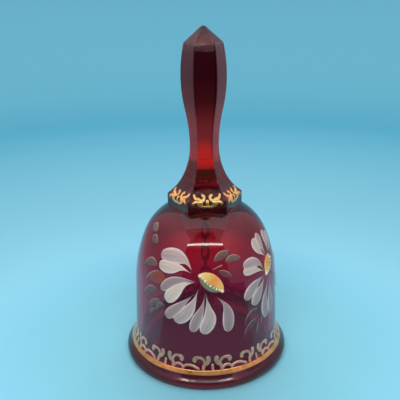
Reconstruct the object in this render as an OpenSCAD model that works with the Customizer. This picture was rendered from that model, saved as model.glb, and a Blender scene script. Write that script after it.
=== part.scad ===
// Hand bell of ruby glass: a blown shell, a six-sided pressed handle, a chain-hung
// glass clapper, and raised enamel and gold decoration.
// Origin at the centre of the rim's foot, +Z up through the handle, front towards -Y.

/* [Overall] */
// Height from the rim's foot to the tip of the handle
height = 170; // [168:0.5:176]

/* [Shell] */
// Largest radius, at the bead of the lip
lip_reach = 43.5; // [43:0.1:44]
// Radius of the bead of the lip
lip_r = 3.2; // [2.8:0.1:3.4]
// Radius of the hollow flare above the lip
flare_r = 17; // [14:0.5:20]
// Outer radius at the bottom of the wall
wall_r = 38.1; // [37.8:0.1:38.4]
// Lean of the wall towards the top, in degrees
wall_lean = 2.2; // [1.5:0.1:3]
// Height where the straight wall starts
wall_z = 16; // [15:0.5:18]
// Height where the wall turns into the shoulder
shoulder_z = 43.7; // [42:0.1:45]
// Radius of the shoulder's arc
shoulder_r = 70; // [66:1:74]
// Direction, in degrees above level, where the crown's arc takes over
crown_turn = 23.7; // [22:0.1:25]
// Radius of the crown's arc
crown_r = 26.5; // [25:0.1:28]
// Thickness of the glass
wall_t = 3; // [2.5:0.1:3.5]

/* [Handle] */
// Turn of the handle about the bell's axis, in degrees
handle_turn = 4.25; // [0:0.25:60]
// Half the width across the flats of the foot
foot_flat = 16.45; // [16:0.05:17]
// Half the width across the flats of the neck
neck_flat = 6.3; // [6:0.1:6.8]
// Height of the neck
neck_z = 113.5; // [112:0.5:115]
// Half the width across the flats of the grip's belly
belly_flat = 9.66; // [9.4:0.02:9.9]
// Height of the belly
belly_z = 147; // [146:0.5:148]
// Height where the tip's bevel starts
bevel_z = 162.5; // [162:0.5:163.5]
// Radius that rounds the point of the tip
tip_r = 1.6; // [1:0.1:2]

/* [Chain and clapper] */
// Diameter of the wire of the hanger, the links and the clapper's pin
wire_d = 1.2; // [1:0.1:1.3]
// Half the width of a link, between the centres of its wires
link_half_w = 1.6; // [1.5:0.05:1.8]
// Length of a link, between the centres of its wires
link_len = 7.5; // [7:0.1:8]
// Play between one wire and the next
play = 0.15; // [0.1:0.05:0.25]
// Height of the hanger's wire, at the bottom of its loop
hanger_z = 76; // [75:0.5:77]
// Radius of the clapper's ring, to the middle of its wire
ring_r = 2.4; // [2.2:0.1:2.8]
// Largest radius of the clapper's glass drop
drop_r = 6; // [5:0.1:6.5]
// Length of the clapper's glass drop
drop_len = 20; // [18:0.5:21]
// Radius of the riveted ball that holds the drop on its pin
ball_r = 1.6; // [1.4:0.1:1.8]
// Radius of the crown's blind hole, which the cement fills
socket_r = 4.2; // [4:0.1:4.6]
// Height of the top of the crown's blind hole
socket_top = 88; // [87:0.5:90]

/* [Decoration] */
// Thickness of the raised enamel and gold
coat = 0.25; // [0.2:0.05:0.4]
// Height of the lower edge of the gold band
band_z = 7.8; // [7.6:0.1:8]
// Height of the gold band
band_h = 2.2; // [1.8:0.1:2.4]
// Number of repeats of the scroll round the rim
scroll_n = 10; // [8:1:10]

/* [Hidden] */
$fn = 64;

ruby = "#4d0b1f";
ruby_bright = "#7a0f1c";
gilt = "#c9a04a";
enamel_white = "#e9dde0";
enamel_gold = "#d6a640";
enamel_cream = "#e8cf86";
enamel_olive = "#6f7050";
enamel_red = "#b8442c";
plaster = "#d8d2c4";

// Points of an arc about c with radius r, from angle a to angle b, in n steps
function arc(c, r, a, b, n) =
    [for (i = [0:n]) let (t = a + (b - a) * i / n) [c[0] + r * cos(t), c[1] + r * sin(t)]];
// Direction of the line from p to q, in degrees
function direction(p, q) = atan2(q[1] - p[1], q[0] - p[0]);

// Degrees left out where one arc takes over from the last, by how tightly they turn
skip_crown = 4;
skip_hollow = 3;
skip_foot = 2;
skip_long = 1.5;
// Longer than the bell is wide, for shapes drawn straight through it
reach = 60;

// ---- Outline of the shell: lip bead, hollow flare, leaning wall, shoulder, crown ----
wall_out = [cos(wall_lean), sin(wall_lean)];
wall_up = [-sin(wall_lean), cos(wall_lean)];
wall_foot = [wall_r, wall_z];
lip_c = [lip_reach - lip_r, lip_r];
// The flare's centre lies off the wall's line, at the place where it also meets the bead
flare_off = wall_foot + flare_r * wall_out - lip_c;
flare_along = flare_off * wall_up;
flare_gap = flare_r + lip_r;
flare_s = -flare_along + sqrt(flare_along ^ 2 - flare_off * flare_off + flare_gap ^ 2);
flare_c = wall_foot + flare_s * wall_up + flare_r * wall_out;
bead_end = direction(lip_c, flare_c);
shoulder_s = (shoulder_z - wall_z) / wall_up[1];
shoulder_c = wall_foot + shoulder_s * wall_up - shoulder_r * wall_out;
crown_c = shoulder_c + (shoulder_r - crown_r) * [cos(crown_turn), sin(crown_turn)];
crown_top = crown_c[1] + crown_r;

// Wall, shoulder and crown moved out by g, from the bottom up
function upper_outline(g) = concat(
    arc(shoulder_c, shoulder_r + g, wall_lean, crown_turn, 14),
    arc(crown_c, crown_r + g, crown_turn + skip_crown, 90, 14));
// The whole outside moved out by g, from the underside of the lip up
function outer_outline(g) = concat(
    arc(lip_c, lip_r + g, -90, bead_end, 16),
    arc(flare_c, flare_r - g, bead_end + 180 - skip_hollow, 180 + wall_lean, 9),
    upper_outline(g));

// Height at which the shoulder gives way to the crown
crown_z = crown_c[1] + crown_r * sin(crown_turn);

// Outer radius at height z, from the flare up over the wall and shoulder to the crown
function surface_radius(z) =
    z < wall_z ? flare_c[0] - sqrt(flare_r ^ 2 - (z - flare_c[1]) ^ 2)
    : z < shoulder_z ? wall_r - (z - wall_z) * tan(wall_lean)
    : z < crown_z ? shoulder_c[0] + sqrt(shoulder_r ^ 2 - (z - shoulder_c[1]) ^ 2)
    : crown_c[0] + sqrt(crown_r ^ 2 - (z - crown_c[1]) ^ 2);

// Solid of the outside moved out by g, closed to the axis
module outer_solid(g) {
    rotate_extrude($fn = 96)
        polygon(concat([[0, 0]], outer_outline(g), [[0, crown_top + g]]));
}

// Thin coat on the outside between two heights
module coat_between(z_low, z_high) {
    difference() {
        intersection() {
            outer_solid(coat);
            translate([0, 0, z_low]) cylinder(r = lip_reach + 2, h = z_high - z_low);
        }
        outer_solid(0);
    }
}

module bell_shell() {
    edge_r = 1.2;
    mouth_ease = 0.4;
    inner_foot_r = wall_r - wall_t + mouth_ease;
    inner = concat(
        arc([inner_foot_r + edge_r, edge_r], edge_r, 270, 180, 5),
        upper_outline(-wall_t));
    color(ruby)
        difference() {
            outer_solid(0);
            rotate_extrude($fn = 96)
                polygon(concat(
                    [[0, -1], [inner_foot_r + edge_r, -1]],
                    inner,
                    [[0, crown_top - wall_t]]));
            cylinder(r = socket_r, h = height);
        }
}

// ---- Handle: one outline swept straight across each pair of flats, all three crossed ----
upper_hollow_r = 88;
upper_belly_r = ((belly_z - neck_z) ^ 2 + (belly_flat - neck_flat) ^ 2)
    / (2 * (belly_flat - neck_flat)) - upper_hollow_r;
hollow_turn = asin((belly_z - neck_z) / (upper_hollow_r + upper_belly_r));
lower_hollow_r = 38;
foot_hollow_r = 23;
hollow_change = 24;
neck_c = [neck_flat + lower_hollow_r, neck_z];
foot_hollow_c = neck_c
    - (lower_hollow_r - foot_hollow_r) * [cos(hollow_change), sin(hollow_change)];
foot_shoulder_r = 1.2;
// The foot's rounded shoulder touches its upright side and the hollow above it
foot_shoulder_x = foot_flat - foot_shoulder_r;
foot_shoulder_z = foot_hollow_c[1] - sqrt((foot_hollow_r + foot_shoulder_r) ^ 2
    - (foot_hollow_c[0] - foot_shoulder_x) ^ 2);
foot_shoulder_c = [foot_shoulder_x, foot_shoulder_z];
foot_shoulder_end = direction(foot_shoulder_c, foot_hollow_c);
foot_z = 78;
belly_c = [belly_flat - upper_belly_r, belly_z];
bevel_turn = asin((bevel_z - belly_z) / upper_belly_r);
bevel_flat = belly_c[0] + upper_belly_r * cos(bevel_turn);
// The bevels, carried on past the rounded tip, would meet this far above it
tip_rise = 0.9;
tip_lean = direction([bevel_flat, bevel_z], [0, height + tip_rise]);

// Right-hand half of the outline moved out by g, from the foot up
function handle_outline(g) = concat(
    [[foot_flat + g, foot_z]],
    arc(foot_shoulder_c, foot_shoulder_r + g, 0, foot_shoulder_end, 6),
    arc(foot_hollow_c, foot_hollow_r - g,
        foot_shoulder_end + 180 - skip_foot, 180 + hollow_change, 12),
    arc(neck_c, lower_hollow_r - g, 180 + hollow_change - skip_hollow, 180, 8),
    arc([neck_flat + upper_hollow_r, neck_z], upper_hollow_r - g,
        180 - skip_long, 180 - hollow_turn, 8),
    arc(belly_c, upper_belly_r + g, -hollow_turn + skip_long, bevel_turn, 14),
    arc([0, height - tip_r], tip_r + g, tip_lean - 90 + skip_foot, 90, 4));

module handle_bar(g) {
    right = handle_outline(g);
    last = len(right) - 1;
    left = [for (i = [last - 1:-1:0]) [-right[i][0], right[i][1]]];
    rotate([90, 0, 0])
        linear_extrude(reach, center = true)
            polygon(concat(right, left));
}

// Crossed so that one flat faces the front
module handle_solid(g) {
    rotate([0, 0, handle_turn + 30])
        intersection() {
            handle_bar(g);
            rotate([0, 0, 60]) handle_bar(g);
            rotate([0, 0, 120]) handle_bar(g);
        }
}

module handle() {
    color(ruby_bright)
        difference() {
            handle_solid(0);
            outer_solid(0);
            translate([0, 0, foot_z - 1]) cylinder(r = socket_r, h = socket_top - foot_z + 1);
        }
}

// ---- Hanger: a wire loop cemented in the crown's blind hole ----
loop_r = 2;
// Cement over the ends of the loop's legs
leg_cover = 2;
cement_z = crown_top - wall_t;

module hanger_legs() {
    for (side = [-1, 1])
        translate([side * loop_r, 0, hanger_z + loop_r])
            cylinder(d = wire_d, h = socket_top - leg_cover - hanger_z - loop_r);
}

module hanger_eye() {
    color(gilt)
        union() {
            hanger_legs();
            translate([0, 0, hanger_z + loop_r])
                rotate([90, 0, 0])
                    rotate([0, 0, 180])
                        rotate_extrude(angle = 180)
                            translate([loop_r, 0]) circle(d = wire_d);
        }
}

module hanger_cement() {
    color(plaster)
        difference() {
            translate([0, 0, cement_z]) cylinder(r = socket_r, h = socket_top - cement_z);
            hanger_legs();
        }
}

// ---- Chain: oval links, each turned a quarter from the one above ----
pitch = link_len - wire_d - play;

// Half a turn of wire round an end of a link, opening downwards
module wire_bow(r) {
    rotate([90, 0, 0])
        rotate_extrude(angle = 180)
            translate([r, 0]) circle(d = wire_d);
}

// Link whose eye turns about the wire at the given height
module link(z, turn) {
    top = z + wire_d + play;
    straight = link_len - 2 * link_half_w;
    translate([0, 0, top - link_half_w])
        rotate([0, 0, turn])
            union() {
                wire_bow(link_half_w);
                translate([0, 0, -straight]) mirror([0, 0, 1]) wire_bow(link_half_w);
                for (side = [-1, 1])
                    translate([side * link_half_w, 0, -straight])
                        cylinder(d = wire_d, h = straight);
            }
}

module chain_link(number) {
    color(gilt)
        link(hanger_z - (number - 1) * pitch, number % 2 == 1 ? 90 : 0);
}

module chain_link_1() { chain_link(1); }
module chain_link_2() { chain_link(2); }
module chain_link_3() { chain_link(3); }
module chain_link_4() { chain_link(4); }
module chain_link_5() { chain_link(5); }

// ---- Clapper: a ring, a pin with an eye, a glass drop and a riveted ball ----
ring_z = hanger_z - 5 * pitch;
ring_c = ring_z + wire_d + play - ring_r;
pin_z = ring_c - ring_r;
eye_c = pin_z + wire_d + play - link_half_w;
// Bare pin between its eye and the drop
pin_neck = 4;
drop_top = eye_c - link_half_w - pin_neck;
drop_bottom = drop_top - drop_len;
drop_c = drop_bottom + drop_r;
// How far the ball is hammered up against the drop
ball_sink = 0.1;
ball_c = drop_bottom - ball_r + ball_sink;
pin_d = wire_d;

module clapper_ring() {
    color(gilt)
        translate([0, 0, ring_c])
            rotate([90, 0, 0])
                rotate_extrude() translate([ring_r, 0]) circle(d = wire_d);
}

module clapper_pin() {
    color(gilt)
        union() {
            translate([0, 0, eye_c])
                rotate([0, 90, 0])
                    rotate_extrude() translate([link_half_w, 0]) circle(d = wire_d);
            translate([0, 0, drop_bottom])
                cylinder(d = pin_d, h = eye_c - link_half_w - drop_bottom);
        }
}

// Round at the bottom, then drawn in by one long arc to a narrow top
module clapper_drop() {
    top_r = 1.3;
    rise = drop_top - drop_c;
    side_r = (rise ^ 2 + (drop_r - top_r) ^ 2) / (2 * (drop_r - top_r));
    side_turn = asin(rise / side_r);
    color(ruby)
        difference() {
            rotate_extrude()
                polygon(concat(
                    [[0, drop_bottom]],
                    arc([0, drop_c], drop_r, -84, 0, 14),
                    [for (i = [1:12]) let (t = side_turn * i / 12)
                        [drop_r - side_r * (1 - cos(t)), drop_c + side_r * sin(t)]],
                    [[0, drop_top]]));
            translate([0, 0, drop_bottom - 1]) cylinder(d = pin_d, h = drop_len + 2);
        }
}

module clapper_ball() {
    color(gilt)
        difference() {
            translate([0, 0, ball_c]) sphere(r = ball_r);
            translate([0, 0, drop_bottom]) cylinder(r = drop_r, h = drop_len);
        }
}

// ---- Decoration: strokes laid out on the unrolled wall, in mm round and mm up ----
unroll_r = 37;

// Point t of the curve through the four points of p
function along(p, t) =
    4.5 * (t - 1 / 3) * (t - 2 / 3) * (1 - t) * p[0]
    + 13.5 * t * (t - 2 / 3) * (t - 1) * p[1]
    + 13.5 * t * (t - 1 / 3) * (1 - t) * p[2]
    + 4.5 * t * (t - 1 / 3) * (t - 2 / 3) * p[3];
// Level direction square to the curve at t
function across(p, t) =
    let (d = along(p, t + 0.01) - along(p, t - 0.01)) [-d[1], d[0]] / norm(d);
// Half width at t of a petal: thin at the start, fullest at three quarters, round at the end
petal_full = 0.76;
function petal_shape(t) = t < petal_full
    ? sin(90 * t / petal_full) ^ 2.1
    : sqrt(max(0, 1 - ((t - petal_full) / (1 - petal_full)) ^ 2));
// Half width at t of a leaf, pointed at both ends, and of a pen line, even with round ends
function leaf_shape(t) = max(0, sin(180 * t ^ 0.9)) ^ 0.9;
function pen_shape(t) = sqrt(max(0, 1 - abs(2 * t - 1) ^ 8)) * (0.8 + 0.2 * t);
end_w = 0.1;
function half_width(kind, t, w) = end_w + (w / 2 - end_w)
    * (kind == "petal" ? petal_shape(t) : kind == "leaf" ? leaf_shape(t) : pen_shape(t));
// Steps of t, close together near both ends
function steps(n) = [for (i = [0:n]) (1 - cos(180 * i / n)) / 2];
// Outline of a stroke [four points, width] of the given kind
function stroke(s, kind, n) = concat(
    [for (t = steps(n)) along(s[0], t) + half_width(kind, t, s[1]) * across(s[0], t)],
    [for (t = steps(n)) along(s[0], 1 - t)
        - half_width(kind, 1 - t, s[1]) * across(s[0], 1 - t)]);
function turn_of(u) = u / unroll_r * 180 / PI;
// Unrolled points as they look from straight outside, at the given turn
function facing(points, turn) =
    [for (p = points) [surface_radius(p[1]) * sin(turn_of(p[0]) - turn), p[1]]];

module stamp(points, turn) {
    rotate([0, 0, turn])
        rotate([90, 0, 0])
            linear_extrude(reach) polygon(facing(points, turn));
}

module strokes_on(list, kind) {
    for (s = list)
        stamp(stroke(s, kind, 12), turn_of((s[0][0][0] + s[0][3][0]) / 2));
}

front_petals = [
    [[[-6.4, 60.6], [-10.4, 65.2], [-16.4, 66.8], [-26.6, 66.0]], 7.4],
    [[[-7.6, 60.4], [-13.0, 62.0], [-19.0, 61.4], [-26.6, 61.4]], 6.4],
    [[[-4.6, 56.4], [-11.0, 56.6], [-17.5, 54.6], [-23.6, 49.6]], 5.4],
    [[[-5.2, 56.2], [-11.0, 54.4], [-15.5, 50.4], [-20.2, 44.2]], 7.2],
    [[[-5.4, 50.4], [-10.5, 45.6], [-15.5, 40.6], [-20.6, 35.8]], 5.8],
    [[[-3.6, 52.8], [-6.0, 46.0], [-9.6, 40.0], [-15.6, 34.6]], 7.2],
    [[[-0.4, 50.2], [-1.8, 43.5], [-4.4, 37.0], [-6.8, 30.2]], 5.4],
    [[[0.0, 50.6], [1.2, 43.5], [1.6, 37.0], [-1.6, 29.4]], 7.2],
    [[[4.8, 49.4], [9.4, 44.2], [10.9, 38.0], [10.7, 29.6]], 6.2],
];
side_petals = [
    [[[39.0, 60.8], [35.6, 64.0], [33.0, 67.6], [31.8, 71.4]], 6.2],
    [[[39.6, 61.0], [38.4, 65.0], [37.4, 68.8], [37.4, 72.8]], 5.8],
    [[[43.4, 61.0], [44.4, 64.6], [45.4, 68.2], [45.8, 72.0]], 6.4],
    [[[44.6, 60.6], [47.8, 63.2], [50.6, 66.2], [53.0, 69.6]], 5.8],
    [[[34.8, 55.4], [32.2, 59.4], [27.5, 61.4], [20.4, 61.2]], 5.4],
    [[[34.8, 55.0], [30.0, 57.0], [25.6, 58.4], [20.0, 58.2]], 5.0],
    [[[34.6, 52.8], [29.6, 51.6], [24.6, 49.0], [20.0, 44.4]], 6.2],
    [[[34.8, 52.6], [31.6, 48.4], [28.4, 44.8], [25.0, 39.8]], 6.8],
    [[[38.0, 49.4], [34.8, 43.4], [33.8, 37.0], [35.4, 29.0]], 6.2],
    [[[38.6, 49.4], [39.4, 43.0], [40.0, 37.0], [40.8, 28.8]], 6.8],
    [[[43.4, 51.4], [48.0, 47.8], [51.0, 43.6], [53.4, 38.0]], 6.4],
    [[[45.4, 55.0], [50.0, 56.0], [54.5, 55.4], [59.0, 53.0]], 6.2],
];
// Middle, length, breadth and tilt of each flower's heart
front_heart = [[2.8, 56], 14.4, 8.2, -33];
side_heart = [[40, 56.4], 11.2, 7.6, 49];

// Heights between which each kind of decoration lies
petal_zone = [26, 76];
heart_zone = [46, 66];
leaf_zone = [22, 78];
bud_zone = [46, 62];

function oval(heart) =
    let (c = heart[0], a = heart[1] / 2, b = heart[2] / 2, tilt = heart[3])
        [for (i = [0:23]) let (t = 15 * i)
            c + [a * cos(t) * cos(tilt) - b * sin(t) * sin(tilt),
                 a * cos(t) * sin(tilt) + b * sin(t) * cos(tilt)]];

module heart_stamp(heart) {
    stamp(oval(heart), turn_of(heart[0][0]));
}

module petals() {
    color(enamel_white)
        difference() {
            intersection() {
                coat_between(petal_zone[0], petal_zone[1]);
                union() {
                    strokes_on(front_petals, "petal");
                    strokes_on(side_petals, "petal");
                }
            }
            heart_stamp(front_heart);
            heart_stamp(side_heart);
        }
}

module flower_centres() {
    color(enamel_gold)
        intersection() {
            coat_between(heart_zone[0], heart_zone[1]);
            union() {
                heart_stamp(front_heart);
                heart_stamp(side_heart);
            }
        }
}

// Relief dots [mm round, mm up, radius] on the hearts
beads = [
    [-2.8, 59.2, 0.8], [-1.4, 58.0, 0.6], [-0.2, 56.8, 0.7], [1.0, 55.6, 0.6],
    [2.3, 54.6, 0.7], [3.8, 53.6, 0.6], [5.2, 52.8, 0.6], [6.6, 52.2, 0.6],
    [8.0, 51.6, 0.8],
    [36.8, 52.8, 0.8], [38.6, 53.4, 0.6], [40.2, 54.4, 0.8], [41.6, 55.6, 0.6],
    [42.8, 57.0, 0.7], [43.6, 58.6, 0.8],
];

module stamen_beads() {
    gap = 0.05;
    color(enamel_cream)
        for (p = beads)
            rotate([0, 0, turn_of(p[0])])
                translate([0, -surface_radius(p[1]) - coat - p[2] - gap, p[1]])
                    sphere(r = p[2]);
}

leaf_strokes = [
    [[[4.2, 65.2], [7.0, 67.2], [10.0, 68.2], [13.8, 69.6]], 4.2],
    [[[10.2, 64.8], [13.0, 65.8], [16.2, 66.0], [20.0, 65.4]], 3.6],
    [[[6.4, 61.0], [8.6, 60.2], [11.0, 59.0], [13.6, 57.4]], 3.4],
    [[[-27.8, 60.0], [-31.2, 61.0], [-35.2, 59.8], [-39.6, 56.8]], 4.6],
    [[[-26.0, 48.4], [-29.6, 47.8], [-33.2, 45.4], [-37.2, 42.0]], 4.4],
    [[[-23.6, 43.8], [-26.6, 42.4], [-29.6, 40.2], [-32.4, 37.2]], 3.2],
    [[[-21.6, 42.0], [-23.6, 41.4], [-25.6, 39.6], [-26.9, 36.8]], 2.8],
    [[[-27.2, 37.8], [-29.0, 36.8], [-30.6, 35.0], [-31.8, 32.8]], 2.4],
    [[[-39.4, 71.4], [-37.0, 71.2], [-34.4, 70.8], [-31.0, 70.2]], 4.2],
    [[[-46.4, 75.2], [-43.2, 75.4], [-40.0, 75.0], [-36.2, 74.4]], 2.8],
    [[[28.6, 37.2], [25.0, 36.4], [22.0, 34.2], [19.4, 30.6]], 4.0],
    [[[27.6, 31.6], [24.4, 30.4], [21.6, 27.8], [19.2, 23.8]], 3.8],
    [[[32.8, 33.6], [32.4, 31.6], [31.8, 29.4], [30.8, 27.0]], 2.6],
    [[[29.4, 29.8], [29.0, 27.8], [28.2, 26.0], [26.8, 23.6]], 2.6],
];
bud_strokes = [
    [[[-21.0, 55.2], [-24.5, 55.2], [-28.4, 54.2], [-32.8, 52.0]], 6.8],
];

module leaves() {
    color(enamel_olive)
        difference() {
            intersection() {
                coat_between(leaf_zone[0], leaf_zone[1]);
                strokes_on(leaf_strokes, "leaf");
            }
            strokes_on(front_petals, "petal");
            strokes_on(side_petals, "petal");
            strokes_on(bud_strokes, "leaf");
        }
}

module bud() {
    color(enamel_red)
        difference() {
            intersection() {
                coat_between(bud_zone[0], bud_zone[1]);
                strokes_on(bud_strokes, "leaf");
            }
            strokes_on(front_petals, "petal");
        }
}

// ---- Gold: the band above the lip and the scrolls over it and on the collar ----
module rim_band() {
    color(gilt) coat_between(band_z, band_z + band_h);
}

scroll_turn = 4.5;
scroll_z = band_z + band_h;
scroll_rise = 8;
scroll_gap = 0.05;
// One half of a scroll motif, in mm round from its middle and mm up from the band
half_scroll = [
    [[[4.3, -0.2], [4.3, 1.2], [3.8, 2.6], [2.9, 3.8]], 1.5],
    [[[3.6, 2.6], [2.3, 3.8], [1.8, 5.4], [2.5, 7.3]], 1.9],
    [[[3.3, 3.2], [4.2, 5.0], [5.6, 6.1], [7.2, 6.1]], 1.3],
    [[[6.4, 6.1], [8.0, 5.9], [8.6, 4.7], [7.6, 3.9]], 1.8],
];
// The tick in its middle, and the run of two low arcs towards the next motif
scroll_run = [
    [[[0.1, -0.2], [0.05, 0.9], [0, 2], [0, 3.1]], 1.2],
    [[[4.4, 0.3], [5.6, 1.7], [7.4, 2.1], [9.7, 0.9]], 1.2],
    [[[8.9, 0.2], [10.6, 1.8], [13.6, 2.0], [17.6, 0.2]], 1.2],
    [[[9.2, -0.2], [9.2, 0.3], [9.2, 0.7], [9.2, 1.2]], 1.0],
];

module pen_on(list, side) {
    for (s = list)
        stamp([for (p = stroke(s, "pen", 8)) [side * p[0], p[1] + scroll_z]], 0);
}

module rim_scrolls() {
    color(gilt)
        for (i = [0:scroll_n - 1])
            rotate([0, 0, scroll_turn + 360 / scroll_n * i])
                intersection() {
                    coat_between(scroll_z + scroll_gap, scroll_z + scroll_rise);
                    union() {
                        pen_on(half_scroll, 1);
                        pen_on(half_scroll, -1);
                        pen_on(scroll_run, 1);
                    }
                }
}

// One half of the motif on a flat of the collar, in mm across and mm up
half_collar = [
    [[[-0.3, 86.9], [2.0, 86.9], [3.7, 87.6], [4.9, 88.8]], 1.5],
    [[[3.4, 88.4], [4.9, 89.3], [6.3, 89.0], [7.4, 87.9]], 1.6],
    [[[3.0, 87.6], [3.1, 88.4], [3.1, 89.2], [2.9, 90.1]], 2.0],
    [[[2.9, 89.6], [4.2, 90.5], [5.7, 90.8], [6.4, 92.6]], 1.4],
    [[[3.0, 89.7], [1.6, 90.4], [1.5, 91.5], [2.8, 92.0]], 1.4],
];
collar_bud = [[[0, 87.2], [0, 88.2], [0, 89.2], [0, 90.3]], 1.7];

module collar_stamp(s, side) {
    rotate([90, 0, 0])
        linear_extrude(reach)
            polygon([for (p = stroke(s, "pen", 8)) [side * p[0], p[1]]]);
}

module collar_scrolls() {
    color(gilt)
        intersection() {
            difference() {
                handle_solid(coat);
                handle_solid(0);
            }
            for (i = [0:5])
                rotate([0, 0, handle_turn + 60 * i]) {
                    collar_stamp(collar_bud, 1);
                    for (side = [-1, 1])
                        for (s = half_collar) collar_stamp(s, side);
                }
        }
}

bell_shell();
handle();
hanger_cement();
hanger_eye();
chain_link_1();
chain_link_2();
chain_link_3();
chain_link_4();
chain_link_5();
clapper_ring();
clapper_pin();
clapper_drop();
clapper_ball();
rim_band();
rim_scrolls();
collar_scrolls();
petals();
flower_centres();
stamen_beads();
leaves();
bud();
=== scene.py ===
"""Ruby glass hand bell: clear glass body, six-sided handle, gold scrolls and enamel flowers."""
import math

import bmesh
import bpy
import numpy as np
from mathutils import Matrix, Vector

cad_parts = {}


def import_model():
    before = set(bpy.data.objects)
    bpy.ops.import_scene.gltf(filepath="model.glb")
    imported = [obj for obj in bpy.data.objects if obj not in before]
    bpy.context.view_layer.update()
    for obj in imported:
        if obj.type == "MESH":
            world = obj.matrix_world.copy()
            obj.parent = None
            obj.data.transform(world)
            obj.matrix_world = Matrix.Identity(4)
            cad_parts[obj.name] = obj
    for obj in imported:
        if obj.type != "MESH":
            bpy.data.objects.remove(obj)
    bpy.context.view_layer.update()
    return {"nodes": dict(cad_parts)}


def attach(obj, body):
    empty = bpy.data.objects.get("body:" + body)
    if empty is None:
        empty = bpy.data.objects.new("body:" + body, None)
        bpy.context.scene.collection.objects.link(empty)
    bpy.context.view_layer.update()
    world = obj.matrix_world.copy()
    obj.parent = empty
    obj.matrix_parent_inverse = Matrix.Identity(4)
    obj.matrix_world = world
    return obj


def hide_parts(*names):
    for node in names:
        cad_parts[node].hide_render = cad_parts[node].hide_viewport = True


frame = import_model()

MM = 0.001
TAU = 2 * math.pi

# ---------------------------------------------------------------- driving sizes, in mm
HEIGHT = 170.0
LIP_REACH, LIP_R, FLARE_R = 43.5, 3.2, 17.0
WALL_R, WALL_Z, WALL_LEAN, WALL_T = 38.1, 16.0, math.radians(2.2), 3.0
SHOULDER_Z, SHOULDER_R = 43.7, 70.0
CROWN_TURN, CROWN_R = math.radians(23.7), 26.5
SOCKET_R, SOCKET_TOP = 4.2, 88.0
MOUTH_R, MOUTH_EDGE_R, SOCKET_EDGE = WALL_R - WALL_T + 0.4, 1.2, 0.3
HANDLE_TURN = math.radians(4.25)
FOOT_FLAT, NECK_FLAT, NECK_Z = 16.45, 6.3, 113.5
BELLY_FLAT, BELLY_Z, BEVEL_Z, TIP_R, TIP_RISE = 9.66, 147.0, 162.5, 1.6, 0.9
UPPER_HOLLOW_R, LOWER_HOLLOW_R, FOOT_HOLLOW_R = 88.0, 38.0, 23.0
HOLLOW_CHANGE, FOOT_SHOULDER_R = math.radians(24), 1.2
BAND_Z, BAND_H = 7.8, 2.2
UNROLL_R = 37.0


# ---------------------------------------------------------------- outline of the bell
def unit(angle):
    """Unit vector at an angle from the outward direction."""
    return np.array([math.cos(angle), math.sin(angle)])


def arc(centre, radius, start, end, steps):
    """Points centre + radius * unit(t) for t evenly spaced from start to end."""
    t = np.linspace(start, end, steps)
    return np.asarray(centre) + radius * np.stack([np.cos(t), np.sin(t)], axis=1)


def angle_of(p, q):
    """Direction from p to q."""
    return math.atan2(q[1] - p[1], q[0] - p[0])


WALL_OUT = unit(WALL_LEAN)
WALL_UP = np.array([-WALL_OUT[1], WALL_OUT[0]])
WALL_FOOT = np.array([WALL_R, WALL_Z])
LIP_C = np.array([LIP_REACH - LIP_R, LIP_R])
FLARE_OFF = WALL_FOOT + FLARE_R * WALL_OUT - LIP_C
FLARE_S = -FLARE_OFF @ WALL_UP + math.sqrt(
    (FLARE_OFF @ WALL_UP) ** 2 - FLARE_OFF @ FLARE_OFF + (FLARE_R + LIP_R) ** 2)
FLARE_C = WALL_FOOT + FLARE_S * WALL_UP + FLARE_R * WALL_OUT
BEAD_END = angle_of(LIP_C, FLARE_C)
SHOULDER_S = (SHOULDER_Z - WALL_Z) / WALL_UP[1]
SHOULDER_C = WALL_FOOT + SHOULDER_S * WALL_UP - SHOULDER_R * WALL_OUT
CROWN_C = SHOULDER_C + (SHOULDER_R - CROWN_R) * unit(CROWN_TURN)


def bell_outside(steps):
    """Outline (r, z) from the underside of the lip to the crown: lip bead, hollow flare,
    leaning wall, shoulder arc, crown arc, each tangent to the next."""
    return np.concatenate([
        arc(LIP_C, LIP_R, -math.pi / 2, BEAD_END, steps),
        arc(FLARE_C, FLARE_R, BEAD_END + math.pi, math.pi + WALL_LEAN, steps)[1:],
        arc(SHOULDER_C, SHOULDER_R, WALL_LEAN, CROWN_TURN, 2 * steps),
        arc(CROWN_C, CROWN_R, CROWN_TURN, math.pi / 2, 2 * steps)[1:],
    ])


OUTLINE = bell_outside(60)
OUTLINE_FROM_EQUATOR = OUTLINE[np.argmax(OUTLINE[:, 0]):]
CROWN_TOP = CROWN_C[1] + CROWN_R


def wall_radius(z):
    """Outer radius of the bell at height z above the widest part of the lip."""
    return np.interp(z, OUTLINE_FROM_EQUATOR[:, 1], OUTLINE_FROM_EQUATOR[:, 0])


def crown_height(r):
    """Height of the crown's outer surface at radius r."""
    return CROWN_C[1] + np.sqrt(np.maximum(CROWN_R ** 2 - (r - CROWN_C[0]) ** 2, 0))


# ---------------------------------------------------------------- outline of the handle
UPPER_BELLY_R = ((BELLY_Z - NECK_Z) ** 2 + (BELLY_FLAT - NECK_FLAT) ** 2) / (
    2 * (BELLY_FLAT - NECK_FLAT)) - UPPER_HOLLOW_R
HOLLOW_TURN = math.asin((BELLY_Z - NECK_Z) / (UPPER_HOLLOW_R + UPPER_BELLY_R))
NECK_C = np.array([NECK_FLAT + LOWER_HOLLOW_R, NECK_Z])
FOOT_HOLLOW_C = NECK_C - (LOWER_HOLLOW_R - FOOT_HOLLOW_R) * unit(HOLLOW_CHANGE)
FOOT_SHOULDER_X = FOOT_FLAT - FOOT_SHOULDER_R
FOOT_SHOULDER_C = np.array([FOOT_SHOULDER_X, FOOT_HOLLOW_C[1] - math.sqrt(
    (FOOT_HOLLOW_R + FOOT_SHOULDER_R) ** 2 - (FOOT_HOLLOW_C[0] - FOOT_SHOULDER_X) ** 2)])
FOOT_SHOULDER_END = angle_of(FOOT_SHOULDER_C, FOOT_HOLLOW_C)
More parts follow.
